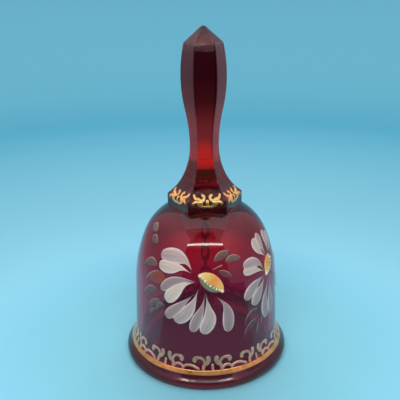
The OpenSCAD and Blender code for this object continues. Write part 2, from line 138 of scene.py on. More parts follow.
BELLY_C = np.array([BELLY_FLAT - UPPER_BELLY_R, BELLY_Z])
BEVEL_TURN = math.asin((BEVEL_Z - BELLY_Z) / UPPER_BELLY_R)
BEVEL_EDGE = BELLY_C + UPPER_BELLY_R * unit(BEVEL_TURN)
TIP_C = np.array([0.0, HEIGHT - TIP_R])
BEVEL_LEAN = angle_of(BEVEL_EDGE, (0.0, HEIGHT + TIP_RISE)) - math.pi / 2


def handle_outline():
    """Half width across the flats against height, from the foot's shoulder to the tip:
    shoulder round, foot hollow, neck hollow, upper hollow, belly, flat bevel, round tip."""
    tip = arc(TIP_C, TIP_R, BEVEL_LEAN, math.pi / 2, 8)
    bevel = np.linspace(0, 1, 14)[1:-1, None]
    edge = arc(BELLY_C, UPPER_BELLY_R, -HOLLOW_TURN, BEVEL_TURN, 26)[1:]
    return np.concatenate([
        arc(FOOT_SHOULDER_C, FOOT_SHOULDER_R, 0, FOOT_SHOULDER_END, 8),
        arc(FOOT_HOLLOW_C, FOOT_HOLLOW_R, FOOT_SHOULDER_END + math.pi,
            math.pi + HOLLOW_CHANGE, 20)[1:],
        arc(NECK_C, LOWER_HOLLOW_R, math.pi + HOLLOW_CHANGE, math.pi, 14)[1:],
        arc((NECK_FLAT + UPPER_HOLLOW_R, NECK_Z), UPPER_HOLLOW_R, math.pi,
            math.pi - HOLLOW_TURN, 16)[1:],
        edge,
        edge[-1] + bevel * (tip[0] - edge[-1]),
        tip,
    ])


HANDLE = handle_outline()


def six_sided(angle, flat, corner):
    """Polar radius, at an angle from the middle of a flat, of a hexagon whose flats lie at
    distance flat and whose corners are rounded to radius corner: flat / cos(angle) on the
    flat, the far side of the corner's circle elsewhere."""
    a = np.abs((angle + math.pi / 6) % (math.pi / 3) - math.pi / 6)
    corner = np.minimum(corner, flat * 0.9)
    limit = np.arctan((flat - corner) * math.tan(math.pi / 6) / np.maximum(flat, 1e-9))
    b = a - math.pi / 6
    reach = (flat - corner) / math.cos(math.pi / 6)
    rounded = reach * np.cos(b) + np.sqrt(np.maximum(corner ** 2 - (reach * np.sin(b)) ** 2, 0))
    return np.where(a <= limit, flat / np.cos(a), rounded)


# ---------------------------------------------------------------- mesh helpers
def new_mesh(name, points, faces, uv=None):
    """Object at the origin from points in mm and a list of face index arrays. The first two
    columns of uv are its UV map and the third its paint load."""
    mesh = bpy.data.meshes.new(name)
    mesh.from_pydata((np.asarray(points) * MM).tolist(), [], [list(f) for f in faces])
    mesh.validate()
    mesh.polygons.foreach_set("use_smooth", np.ones(len(mesh.polygons), bool))
    if uv is not None:
        layer = mesh.uv_layers.new(name="UVMap")
        corner = np.empty(len(mesh.loops), int)
        mesh.loops.foreach_get("vertex_index", corner)
        layer.data.foreach_set("uv", np.asarray(uv)[corner, :2].ravel())
        load = mesh.attributes.new("load", "FLOAT", "POINT")
        load.data.foreach_set("value", np.asarray(uv)[:, 2])
    mesh.update()
    obj = bpy.data.objects.new(name, mesh)
    bpy.context.scene.collection.objects.link(obj)
    return obj


def ring_faces(rows, columns):
    """Quads of a grid whose columns run right round, rows upward, facing outwards."""
    i, j = np.meshgrid(np.arange(rows - 1), np.arange(columns), indexing="ij")
    k = (j + 1) % columns
    return np.stack([i * columns + j, i * columns + k, (i + 1) * columns + k,
                     (i + 1) * columns + j], axis=-1).reshape(-1, 4)


def join_parts(parts):
    """Stacks (points, faces, uv) parts into one set, shifting the face indices."""
    points, faces, uvs, start = [], [], [], 0
    for p, f, uv in parts:
        points.append(p)
        faces.extend((np.asarray(q) + start) for q in f)
        uvs.append(uv)
        start += len(p)
    return np.concatenate(points), faces, np.concatenate(uvs)


# ---------------------------------------------------------------- the glass body
def column_angles():
    """Angles round the axis, crowded towards the six corners of the handle."""
    half = np.concatenate([np.linspace(0, 24, 9), np.linspace(25.5, 28, 4), [28.8, 29.4]])
    sector = np.concatenate([-half[:0:-1], half])
    sector = np.append(sector, 30.0)
    return np.radians((np.arange(6)[:, None] * 60 + sector).ravel())


def glass_body():
    """One closed skin: blind hole, inside of the crown and wall, foot, lip, flare, wall,
    crown as far as the handle's foot, then the six-sided handle up to its tip."""
    turn = column_angles()
    n = len(turn)
    inner_crown = arc(CROWN_C, CROWN_R - WALL_T, math.pi / 2, CROWN_TURN, 24)
    inner_crown = inner_crown[inner_crown[:, 0] > SOCKET_R + SOCKET_EDGE]
    top = CROWN_TOP - WALL_T
    inside = np.concatenate([
        [[0.0, SOCKET_TOP], [SOCKET_R - SOCKET_EDGE, SOCKET_TOP],
         [SOCKET_R, SOCKET_TOP - SOCKET_EDGE], [SOCKET_R, top + SOCKET_EDGE],
         [SOCKET_R + SOCKET_EDGE, top]],
        inner_crown,
        arc(SHOULDER_C, SHOULDER_R - WALL_T, CROWN_TURN, WALL_LEAN, 24)[1:],
        [WALL_FOOT - WALL_T * WALL_OUT + WALL_UP * s for s in (14, 0, -8)],
        arc((MOUTH_R + MOUTH_EDGE_R, MOUTH_EDGE_R), MOUTH_EDGE_R, math.pi, 1.5 * math.pi, 6),
        arc(LIP_C, LIP_R, -math.pi / 2, BEAD_END, 20),
        arc(FLARE_C, FLARE_R, BEAD_END + math.pi, math.pi + WALL_LEAN, 16)[1:],
        arc(SHOULDER_C, SHOULDER_R, WALL_LEAN, CROWN_TURN, 30),
        arc(CROWN_C, CROWN_R, CROWN_TURN, math.radians(40), 14)[1:],
    ])
    radius = np.repeat(inside[:, :1], n, axis=1)
    height = np.repeat(inside[:, 1:], n, axis=1)
    fillet = 0.5
    collar = six_sided(turn, FOOT_FLAT, 0.4)
    start = inside[-1, 0]
    part = np.linspace(0, 1, 12)[1:, None]
    crown_r = start + part * (collar + fillet - start)
    crown_z = crown_height(crown_r)
    bend = np.radians(np.array([25, 50, 70, 90]))[:, None]
    bend_r = collar + fillet * (1 - np.sin(bend))
    bend_z = crown_height(collar + fillet) + fillet * 1.2 * (1 - np.cos(bend))
    side_low = bend_z[-1]
    side = np.linspace(0, 1, 6)[1:-1, None]
    side_z = side_low + side * (HANDLE[0, 1] - side_low)
    side_r = np.repeat(collar[None], len(side), axis=0)
    corner = np.interp(HANDLE[:, 1], [86, 92, 110, 150, 162, 163, 170],
                       [0.4, 0.6, 0.5, 0.6, 0.45, 0.3, 0.3])
    grip_r = np.array([six_sided(turn, a, c) if a > 1e-6 else np.zeros(n)
                       for a, c in zip(HANDLE[:, 0], corner)])
    grip_z = np.repeat(HANDLE[:, 1:], n, axis=1)
    radius = np.concatenate([radius, crown_r, bend_r, side_r, grip_r])
    height = np.concatenate([height, crown_z, bend_z, side_z, grip_z])
    spin = turn + HANDLE_TURN - math.pi / 2
    x, y = radius * np.cos(spin), radius * np.sin(spin)
    points = np.stack([x, y, height], axis=-1).reshape(-1, 3)
    body = new_mesh("ruby_glass", points, ring_faces(len(radius), n))
    weld(body)
    return body


def weld(obj, distance=1e-6):
    """Merges the doubled points at poles and turns every face outwards."""
    bm = bmesh.new()
    bm.from_mesh(obj.data)
    bmesh.ops.remove_doubles(bm, verts=bm.verts, dist=distance)
    bmesh.ops.dissolve_degenerate(bm, edges=bm.edges, dist=distance)
    bmesh.ops.recalc_face_normals(bm, faces=bm.faces)
    bm.to_mesh(obj.data)
    bm.free()
    obj.data.update()


# ---------------------------------------------------------------- strokes on the glass
def on_wall(u, v, lift):
    """Places unrolled mm (u round, v up) on the bell's outside, lifted along the normal."""
    r = wall_radius(v)
    slope = (wall_radius(v + 0.05) - wall_radius(v - 0.05)) / 0.1
    tilt = np.arctan(-slope)
    r = r + lift * np.cos(tilt)
    z = v + lift * np.sin(tilt)
    a = u / UNROLL_R - math.pi / 2
    return np.stack([r * np.cos(a), r * np.sin(a), z], axis=-1)


def on_collar(u, v, lift, face):
    """Places mm (u across, v up) on a sloping flat of the collar, lifted off it."""
    flat = np.interp(v, HANDLE[:60, 1], HANDLE[:60, 0])
    slope = (np.interp(v + 0.05, HANDLE[:60, 1], HANDLE[:60, 0]) -
             np.interp(v - 0.05, HANDLE[:60, 1], HANDLE[:60, 0])) / 0.1
    tilt = np.arctan(-slope)
    out, z = flat + lift * np.cos(tilt), v + lift * np.sin(tilt)
    a = face * math.pi / 3 + HANDLE_TURN
    x, y = u * math.cos(a) + out * math.sin(a), u * math.sin(a) - out * math.cos(a)
    return np.stack([x, y, z], axis=-1)


def smooth_path(points, steps):
    """Catmull-Rom curve through the given points, and its sideways direction."""
    p = np.asarray(points, float)
    p = np.concatenate([[2 * p[0] - p[1]], p, [2 * p[-1] - p[-2]]])
    t = np.linspace(0, len(p) - 3 - 1e-9, steps)
    i = t.astype(int)
    f = (t - i)[:, None]
    a, b, c, d = p[i], p[i + 1], p[i + 2], p[i + 3]
    path = 0.5 * (2 * b + (c - a) * f + (2 * a - 5 * b + 4 * c - d) * f ** 2
                  + (3 * b - a - 3 * c + d) * f ** 3)
    along = np.gradient(path, axis=0)
    along /= np.maximum(np.linalg.norm(along, axis=1, keepdims=True), 1e-9)
    return path, np.stack([-along[:, 1], along[:, 0]], axis=1)


def brush(points, half_width, height, place, across=9, steps=28, base=0.06, ridges=0.0,
          load=1.0):
    """Closed lens-shaped stroke: the path swept with half_width(t), its top raised by
    height * (1 - s^2)^0.5 at s from -1 to 1 across, its underside sunk by base."""
    path, side = smooth_path(points, steps)
    t = np.linspace(0, 1, steps)
    s = np.linspace(-1, 1, across)
    w = half_width(t)
    flat = path[:, None] + side[:, None] * (w[:, None] * s[None])[..., None]
    fade = np.clip(w / max(w.max(), 1e-9), 0, 1) ** 0.5
    crown = np.sqrt(np.maximum(1 - s ** 2, 0))[None] * fade[:, None]
    if ridges:
        crown = crown * (1 + ridges * np.cos(s * 7.0)[None] * np.sin(math.pi * t)[:, None])
    top = place(flat[..., 0], flat[..., 1], height * crown - base * (1 - crown))
    low = place(flat[..., 0], flat[..., 1], np.full(flat.shape[:2], -base) - base * crown)
    rows, cols = steps, across
    i, j = np.meshgrid(np.arange(rows - 1), np.arange(cols - 1), indexing="ij")
    quad = np.stack([i * cols + j, (i + 1) * cols + j, (i + 1) * cols + j + 1,
                     i * cols + j + 1], axis=-1).reshape(-1, 4)
    edge = np.concatenate([np.arange(rows) * cols, (rows - 1) * cols + np.arange(1, cols),
                           (np.arange(rows)[::-1] * cols + cols - 1)[1:],
                           np.arange(1, cols - 1)[::-1]])
    n = rows * cols
    wall = np.stack([edge, np.roll(edge, -1), np.roll(edge, -1) + n, edge + n], axis=-1)
    faces = np.concatenate([quad, quad[:, ::-1] + n, wall])
    uv = np.stack(np.broadcast_arrays(t[:, None], s[None] * 0.5 + 0.5, load), axis=-1)
    uv = uv.reshape(-1, 3)
    return (np.concatenate([top.reshape(-1, 3), low.reshape(-1, 3)]), faces,
            np.concatenate([uv, uv]))


def comma(width, full=0.76):
    """Half width of a loaded brush: a thin tail that swells to its fullest at the share
    full of the length, then closes in a half ellipse."""
    def half_width(t):
        """Half width at the share t of the length."""
        tail = np.sin(math.pi / 2 * np.clip(t / full, 0, 1)) ** 2.1
        end = np.sqrt(np.clip(1 - (np.clip(t - full, 0, 1) / (1 - full)) ** 2, 0, 1))
        return 0.1 + (width / 2 - 0.1) * tail * end
    return half_width


def leafy(width):
    """Half width of a leaf: pointed at both ends."""
    return lambda t: 0.05 + width / 2 * np.sin(math.pi * t ** 0.9) ** 0.9


def even(width, taper=0.75):
    """Half width of a pen line: nearly even, with round ends."""
    return lambda t: width / 2 * np.clip(1 - np.abs(2 * t - 1) ** 8, 0, 1) ** 0.5 * (
        taper + (1 - taper) * t)


def strokes(name, rows, place, **how):
    """Many strokes (path, half width function, height, paint load) as one object."""
    parts = [brush(path, width, height, place, load=load, **how)
             for path, width, height, load in rows]
    points, faces, uv = join_parts(parts)
    piece = new_mesh(name, points, faces, uv)
    weld(piece, 1e-7)
    return piece


FRONT_PETALS = [
    ([(-6.4, 60.6), (-10.4, 65.2), (-16.4, 66.8), (-26.6, 66.0)], 7.4, 0.75),
    ([(-7.6, 60.4), (-13.0, 62.0), (-19.0, 61.4), (-26.6, 61.4)], 6.4, 0.95),
    ([(-4.6, 56.4), (-11.0, 56.6), (-17.5, 54.6), (-23.6, 49.6)], 5.4, 0.25),
    ([(-5.2, 56.2), (-11.0, 54.4), (-15.5, 50.4), (-20.2, 44.2)], 7.2, 1.0),
    ([(-5.4, 50.4), (-10.5, 45.6), (-15.5, 40.6), (-20.6, 35.8)], 5.8, 0.4),
    ([(-3.6, 52.8), (-6.0, 46.0), (-9.6, 40.0), (-15.6, 34.6)], 7.2, 0.75),
    ([(-0.4, 50.2), (-1.8, 43.5), (-4.4, 37.0), (-6.8, 30.2)], 5.4, 0.3),
    ([(0.0, 50.6), (1.2, 43.5), (1.6, 37.0), (-1.6, 29.4)], 7.2, 0.75),
    ([(4.8, 49.4), (9.4, 44.2), (10.9, 38.0), (10.7, 29.6)], 6.2, 0.3),
]
SIDE_PETALS = [
    ([(39.0, 60.8), (35.6, 64.0), (33.0, 67.6), (31.8, 71.4)], 6.2, 0.9),
    ([(39.6, 61.0), (38.4, 65.0), (37.4, 68.8), (37.4, 72.8)], 5.8, 0.75),
    ([(43.4, 61.0), (44.4, 64.6), (45.4, 68.2), (45.8, 72.0)], 6.4, 0.8),
    ([(44.6, 60.6), (47.8, 63.2), (50.6, 66.2), (53.0, 69.6)], 5.8, 0.7),
    ([(34.8, 55.4), (32.2, 59.4), (27.5, 61.4), (20.4, 61.2)], 5.4, 0.7),
    ([(34.8, 55.0), (30.0, 57.0), (25.6, 58.4), (20.0, 58.2)], 5.0, 0.95),
    ([(34.6, 52.8), (29.6, 51.6), (24.6, 49.0), (20.0, 44.4)], 6.2, 0.6),
    ([(34.8, 52.6), (31.6, 48.4), (28.4, 44.8), (25.0, 39.8)], 6.8, 0.65),
    ([(38.0, 49.4), (34.8, 43.4), (33.8, 37.0), (35.4, 29.0)], 6.2, 0.5),
    ([(38.6, 49.4), (39.4, 43.0), (40.0, 37.0), (40.8, 28.8)], 6.8, 0.5),
    ([(43.4, 51.4), (48.0, 47.8), (51.0, 43.6), (53.4, 38.0)], 6.4, 0.4),
    ([(45.4, 55.0), (50.0, 56.0), (54.5, 55.4), (59.0, 53.0)], 6.2, 0.4),
]
LEAVES = [
    ([(13.8, 69.6), (10.0, 68.2), (7.0, 67.2), (4.2, 65.2)], 4.2, 0.5),
    ([(20.0, 65.4), (16.2, 66.0), (13.0, 65.8), (10.2, 64.8)], 3.6, 0.6),
    ([(13.6, 57.4), (11.0, 59.0), (8.6, 60.2), (6.4, 61.0)], 3.4, 0.3),
    ([(-27.8, 60.0), (-31.2, 61.0), (-35.2, 59.8), (-39.6, 56.8)], 4.6, 0.6),
    ([(-26.0, 48.4), (-29.6, 47.8), (-33.2, 45.4), (-37.2, 42.0)], 4.4, 0.5),
    ([(-23.6, 43.8), (-26.6, 42.4), (-29.6, 40.2), (-32.4, 37.2)], 3.2, 0.6),
    ([(-21.6, 42.0), (-23.6, 41.4), (-25.6, 39.6), (-26.9, 36.8)], 2.8, 0.6),
    ([(-27.2, 37.8), (-29.0, 36.8), (-30.6, 35.0), (-31.8, 32.8)], 2.4, 0.6),
    ([(-31.0, 70.2), (-34.4, 70.8), (-37.0, 71.2), (-39.4, 71.4)], 4.2, 0.6),
    ([(-36.2, 74.4), (-40.0, 75.0), (-43.2, 75.4), (-46.4, 75.2)], 3.8, 0.7),
    ([(28.6, 37.2), (25.0, 36.4), (22.0, 34.2), (19.4, 30.6)], 4.0, 0.2),
    ([(27.6, 31.6), (24.4, 30.4), (21.6, 27.8), (19.2, 23.8)], 3.8, 0.2),
    ([(32.8, 33.6), (32.4, 31.6), (31.8, 29.4), (30.8, 27.0)], 2.6, 0.4),
    ([(29.4, 29.8), (29.0, 27.8), (28.2, 26.0), (26.8, 23.6)], 2.6, 0.4),
]
STEMS = [
    ([(3.6, 61.9), (6.2, 62.9), (9.0, 63.7)], 0.6),
    ([(-26.2, 58.2), (-29.4, 56.9), (-32.6, 54.6), (-35.0, 51.4)], 1.0),
]
BUDS = [([(-21.0, 55.2), (-24.5, 55.2), (-28.4, 54.2), (-32.8, 52.0)], 6.8, 1.0)]


def petals():
    """Pairs of loaded strokes, each a low cushion of white enamel."""
    rows = [(path, comma(w), 0.2 + 0.03 * (i % 2), load)
            for i, (path, w, load) in enumerate(FRONT_PETALS + SIDE_PETALS)]
    return strokes("enamel_petals", rows, on_wall, across=15, steps=36, ridges=0.08)


def leaves():
    """Thin leaves and their stems."""
    rows = [(path, leafy(w), 0.1, load) for path, w, load in LEAVES]
    rows += [(path, even(w, 0.5), 0.14, 0.9) for path, w in STEMS]
    return strokes("enamel_leaves", rows, on_wall, across=11, steps=24)


def buds():
    """A closed bud at the left."""
    return strokes("enamel_bud", [(path, leafy(w), 0.14, load) for path, w, load in BUDS],
                   on_wall, across=13, steps=24)


FLOWERS = [((2.8, 56.0), 7.2, 4.1, math.radians(-33)),
           ((40.0, 56.4), 5.6, 3.8, math.radians(49))]
BEADS = [
    (-2.8, 59.2, 0.95), (-1.4, 58.0, 0.6), (-0.2, 56.8, 0.8), (1.0, 55.6, 0.55),
    (2.3, 54.6, 0.8), (3.8, 53.6, 0.6), (5.2, 52.8, 0.65), (6.6, 52.2, 0.6), (8.0, 51.6, 0.95),
    (36.8, 52.8, 1.1), (38.6, 53.4, 0.6), (40.2, 54.4, 0.95), (41.6, 55.6, 0.6),
    (42.8, 57.0, 0.75), (43.6, 58.6, 0.85),
]


def dome_pad(centre, long, short, tilt, height, rings=10, around=48, point=0.0):
    """Raised pad: height * (1 - rho^2)^0.6 over an ellipse whose breadth is also scaled by
    |sin a|^point, which draws its two ends to points, with a sunk underside."""
    rho = np.linspace(0, 1, rings)[:, None]
    a = np.linspace(0, TAU, around, endpoint=False)[None]
    x, y = long * rho * np.cos(a), short * rho * np.sin(a) * np.abs(np.sin(a)) ** point
    u = centre[0] + x * math.cos(tilt) - y * math.sin(tilt)
    v = centre[1] + x * math.sin(tilt) + y * math.cos(tilt)
    rise = height * (1 - rho ** 2) ** 0.6
    top = on_wall(u, v, np.broadcast_to(rise, u.shape) - 0.05)
    low = on_wall(u, v, np.full(u.shape, -0.12))
    n = rings * around
    upper = ring_faces(rings, around)
    lower = ring_faces(rings, around)[:, ::-1] + n
    edge = (rings - 1) * around + np.arange(around)
    nxt = (rings - 1) * around + (np.arange(around) + 1) % around
    rim = np.stack([edge, nxt, nxt + n, edge + n], axis=-1)
    uv = np.stack(np.broadcast_arrays(0.5 + 0.5 * rho * np.cos(a), 0.5 + 0.5 * y / short,
                                      1.0), axis=-1).reshape(-1, 3)
    return (np.concatenate([top.reshape(-1, 3), low.reshape(-1, 3)]),
            np.concatenate([upper, lower, rim]), np.concatenate([uv, uv]))


def flower_centres():
    """The raised oval hearts of the two flowers."""
    parts = [dome_pad(c, a, b, tilt, 0.5, rings=16, around=72, point=0.4)
             for c, a, b, tilt in FLOWERS]
    points, faces, uv = join_parts(parts)
    piece = new_mesh("enamel_hearts", points, faces, uv)
    weld(piece)
    return piece


def stamen_beads():
    """Cream dots in relief along the lower side of each heart."""
    parts = [dome_pad((u, v), r * 1.1, r * 0.95, 0.7 * k, 0.75, rings=7, around=18)
             for k, (u, v, r) in enumerate(BEADS)]
    points, faces, uv = join_parts(parts)
    piece = new_mesh("enamel_beads", points, faces, uv)
    weld(piece)
    return piece


# ---------------------------------------------------------------- gold
HALF_SCROLL = [
    ([(4.3, 9.9), (4.3, 11.2), (3.8, 12.6), (2.9, 13.8)], 1.5),
    ([(3.6, 12.6), (2.3, 13.8), (1.8, 15.4), (2.5, 17.3)], 1.9),
    ([(3.3, 13.2), (4.2, 15.0), (5.6, 16.1), (7.2, 16.1)], 1.3),
    ([(6.4, 16.1), (8.0, 15.9), (8.6, 14.7), (7.6, 13.9)], 1.8),
]
SCROLL_RUN = [
    ([(0.1, 9.9), (0.05, 10.9), (0.0, 12.0), (0.0, 13.1)], 1.2),
    ([(4.4, 10.3), (5.6, 11.7), (7.4, 12.1), (9.7, 10.9)], 1.2),
    ([(8.9, 10.2), (10.6, 11.8), (13.6, 12.0), (17.6, 10.2)], 1.2),
    ([(9.2, 9.9), (9.2, 10.3), (9.2, 10.7), (9.2, 11.2)], 1.0),
]
SCROLL_COUNT = 10
SCROLL_TURN = math.radians(4.5)


def rim_scrolls():
    """Ten mirrored scroll motifs in raised gold round the flare, each joined to the next by
    two low arcs."""
    half = [(np.array(path), w) for path, w in HALF_SCROLL]
    motif = [(path * [side, 1], w) for side in (-1, 1) for path, w in half]
    motif += [(np.array(path), w) for path, w in SCROLL_RUN]
    rows = []
    for k in range(SCROLL_COUNT):
        shift = (SCROLL_TURN + TAU * k / SCROLL_COUNT) * UNROLL_R
        rows += [(path + [shift, 0], even(w * 1.25, 0.9), 0.16, 1.0) for path, w in motif]
    return strokes("gold_rim_scrolls", rows, on_wall, across=7, steps=16)


def rim_band():
    """Gold ring wrapped on the flare, with a wavering edge and softly rounded back."""
    n, m = 360, 11
    a = np.linspace(0, TAU, n, endpoint=False)
    s = np.linspace(-1, 1, m)[:, None]
    wave = 0.06 * np.sin(7 * a) + 0.04 * np.sin(17 * a + 1)
    v = BAND_Z + BAND_H / 2 + (BAND_H / 2 + wave) * s
    lift = 0.13 * np.sqrt(np.maximum(1 - s ** 4, 0)) - 0.04
    u = np.broadcast_to(a * UNROLL_R, v.shape)
    top = on_wall(u, v, np.broadcast_to(lift, v.shape)).reshape(-1, 3)
    low = on_wall(u, v, np.full(v.shape, -0.1)).reshape(-1, 3)
    k = n * m
    upper, lower = ring_faces(m, n), ring_faces(m, n)[:, ::-1] + k
    first, last = np.arange(n), (m - 1) * n + np.arange(n)
    sides = [np.stack([np.roll(first, -1), first, first + k, np.roll(first, -1) + k], axis=-1),
             np.stack([last, np.roll(last, -1), np.roll(last, -1) + k, last + k], axis=-1)]
    piece = new_mesh("gold_rim_band", np.concatenate([top, low]),
                     np.concatenate([upper, lower] + sides))
    weld(piece)
    return piece


HALF_COLLAR = [
    ([(-0.3, 86.9), (2.0, 86.9), (3.7, 87.6), (4.9, 88.8)], 1.5),
    ([(3.4, 88.4), (4.9, 89.3), (6.3, 89.0), (7.4, 87.9)], 1.6),
    ([(3.0, 87.6), (3.1, 88.4), (3.1, 89.2), (2.9, 90.1)], 2.0),
    ([(2.9, 89.6), (4.2, 90.5), (5.7, 90.8), (6.4, 92.6)], 1.4),
    ([(3.0, 89.7), (1.6, 90.4), (1.5, 91.5), (2.8, 92.0)], 1.4),
]
COLLAR_BUD = ([(0.0, 87.2), (0.0, 88.2), (0.0, 89.2), (0.0, 90.3)], 1.7)


def collar_scrolls():
    """A mirrored leaf scroll in raised gold on each flat of the collar."""
    parts = []
    for face in range(6):
        def place(u, v, lift, face=face):
            """The same flat of the collar for every stroke of this motif."""
            return on_collar(u, v, lift, face)
        for side in (-1, 1):
            for path, w in HALF_COLLAR:
                parts.append(brush(np.array(path) * [side, 1], even(w, 0.9), 0.2, place,
                                   across=7, steps=20))
        parts.append(brush(COLLAR_BUD[0], even(COLLAR_BUD[1]), 0.22, place, across=7,
                           steps=14))
    points, faces, uv = join_parts(parts)
    piece = new_mesh("gold_collar_scrolls", points, faces, uv)
    weld(piece, 1e-7)
    return piece


# ---------------------------------------------------------------- materials
def material(name):
    """New node material, with its nodes, its links and its shader."""
    mat = bpy.data.materials.new(name)
    mat.use_nodes = True
    nodes, links = mat.node_tree.nodes, mat.node_tree.links
    shader = nodes["Principled BSDF"]
    return mat, nodes, links, shader


def add(nodes, kind, **values):
    """New node with its plain input values set by name."""
    node = nodes.new(kind)
    for key, value in values.items():
        if key in node.inputs:
            node.inputs[key].default_value = value
        else:
            setattr(node, key, value)
    return node


def ramp(nodes, links, source, stops):
    """Colour ramp through (position, colour) stops, fed by source."""
    node = nodes.new("ShaderNodeValToRGB")
    links.new(source, node.inputs["Fac"])
    band = node.color_ramp
    while len(band.elements) < len(stops):
        band.elements.new(0.5)
    for element, (position, colour) in zip(band.elements, stops):
        element.position = position
        element.color = (*colour, 1)
    return node


def noise(nodes, links, vector, scale, detail=4.0, rough=0.55):
    """Noise texture on a vector."""
    node = add(nodes, "ShaderNodeTexNoise", Scale=scale, Detail=detail, Roughness=rough)
    links.new(vector, node.inputs["Vector"])
    return node


def glass_material(name, tint, colour, density, through=1.0, ground=True):
    """Clear glass coloured in its depth, faintly wavy. Where it is ground, its surface colour
    follows a ramp over height that carries painted glow and painted shade, and it is stippled
    on the tip's bevel and low on the collar, worn on the lip, and painted with pale highlight
    lines along the bevel's edges."""
    mat, nodes, links, shader = material(name)
    shader.inputs["Base Color"].default_value = (*tint[0][1], 1)
    shader.inputs["Metallic"].default_value = 0.0
    shader.inputs["Transmission Weight"].default_value = through
    shader.inputs["IOR"].default_value = 1.52
    place = nodes.new("ShaderNodeTexCoord").outputs["Object"]
    depth = add(nodes, "ShaderNodeVolumeAbsorption", Density=density)
    depth.inputs["Color"].default_value = (*colour, 1)
    links.new(depth.outputs["Volume"], nodes["Material Output"].inputs["Volume"])
    wave = noise(nodes, links, place, 45, 1.0, 0.4)
    bend = add(nodes, "ShaderNodeBump", Strength=0.12, Distance=0.0006)
    links.new(wave.outputs["Fac"], bend.inputs["Height"])
    if not ground:
        links.new(bend.outputs["Normal"], shader.inputs["Normal"])
        rough = add(nodes, "ShaderNodeMapRange", clamp=True)
        rough.inputs["To Max"].default_value = 0.05
        links.new(wave.outputs["Fac"], rough.inputs["Value"])
        links.new(rough.outputs["Result"], shader.inputs["Roughness"])
        return mat
    split = nodes.new("ShaderNodeSeparateXYZ")
    links.new(place, split.inputs["Vector"])
    high = add(nodes, "ShaderNodeMath", operation="DIVIDE")
    high.inputs[1].default_value = HEIGHT * MM
    links.new(split.outputs["Z"], high.inputs[0])
    # Surface colour by height, carrying the ramp's painted glow and painted shade.
    surface_colour_and_painted_light = ramp(nodes, links, high.outputs[0], tint)
    zone = ramp(nodes, links, high.outputs[0],
                [(0.0, (0, 0, 0)), (0.505, (0, 0, 0)), (0.512, (0.4, 0.4, 0.4)),
                 (0.545, (0.3, 0.3, 0.3)), (0.556, (0, 0, 0)), (0.93, (0, 0, 0)),
                 (0.955, (0.45, 0.45, 0.45)), (0.975, (0.85, 0.85, 0.85))])
    stipple = noise(nodes, links, place, 1100, 2.0, 0.6)
    speck = ramp(nodes, links, stipple.outputs["Fac"], [(0.46, (0, 0, 0)), (0.58, (1, 1, 1))])
    grain = add(nodes, "ShaderNodeMath", operation="MULTIPLY")
    links.new(speck.outputs["Color"], grain.inputs[0])
    links.new(zone.outputs["Color"], grain.inputs[1])
    turned = add(nodes, "ShaderNodeMath", operation="ARCTAN2")
    links.new(split.outputs["Y"], turned.inputs[0])
    links.new(split.outputs["X"], turned.inputs[1])
    fold = add(nodes, "ShaderNodeMath", operation="PINGPONG")
    fold.inputs[1].default_value = math.pi / 6
    links.new(turned.outputs[0], fold.inputs[0])
    # Pale lines along the bevel's base and the tip's corner edges: painted highlights.
    corner = ramp(nodes, links, fold.outputs[0], [(0.02, (1, 1, 1)), (0.07, (0, 0, 0))])
    bevel = ramp(nodes, links, high.outputs[0],
                 [(0.951, (0, 0, 0)), (0.955, (1, 1, 1)), (0.959, (0, 0, 0))])
    tip_only = ramp(nodes, links, high.outputs[0], [(0.954, (0, 0, 0)), (0.957, (1, 1, 1))])
    edges = add(nodes, "ShaderNodeMath", operation="MULTIPLY")
    links.new(corner.outputs["Color"], edges.inputs[0])
    links.new(tip_only.outputs["Color"], edges.inputs[1])
    painted_edge_highlights = add(nodes, "ShaderNodeMath", operation="MAXIMUM")
    links.new(edges.outputs[0], painted_edge_highlights.inputs[0])
    links.new(bevel.outputs["Color"], painted_edge_highlights.inputs[1])
    stipple_and_painted_highlights = add(nodes, "ShaderNodeMath", operation="MAXIMUM")
    links.new(painted_edge_highlights.outputs[0], stipple_and_painted_highlights.inputs[0])
    links.new(grain.outputs[0], stipple_and_painted_highlights.inputs[1])
    # The ground glass's stipple flecks and the painted edge highlights both pale the surface
    # colour.
    stipple_and_highlight_tint = add(nodes, "ShaderNodeMix", data_type="RGBA")
    links.new(stipple_and_painted_highlights.outputs[0], stipple_and_highlight_tint.inputs["Factor"])
    links.new(surface_colour_and_painted_light.outputs["Color"], stipple_and_highlight_tint.inputs["A"])
    stipple_and_highlight_tint.inputs["B"].default_value = (1.0, 0.62, 0.5, 1)
    links.new(stipple_and_highlight_tint.outputs["Result"], shader.inputs["Base Color"])
    bump = add(nodes, "ShaderNodeBump", Strength=0.9, Distance=0.0004)
    links.new(grain.outputs[0], bump.inputs["Height"])
    links.new(bend.outputs["Normal"], bump.inputs["Normal"])
    links.new(bump.outputs["Normal"], shader.inputs["Normal"])
    worn = ramp(nodes, links, high.outputs[0],
                [(0.0, (0.26, 0.26, 0.26)), (0.03, (0.16, 0.16, 0.16)), (0.045, (0, 0, 0))])
    rough = add(nodes, "ShaderNodeMath", operation="MULTIPLY_ADD")
    rough.inputs[1].default_value = 0.3
    links.new(grain.outputs[0], rough.inputs[0])
    links.new(worn.outputs["Color"], rough.inputs[2])
    links.new(rough.outputs[0], shader.inputs["Roughness"])
    return mat


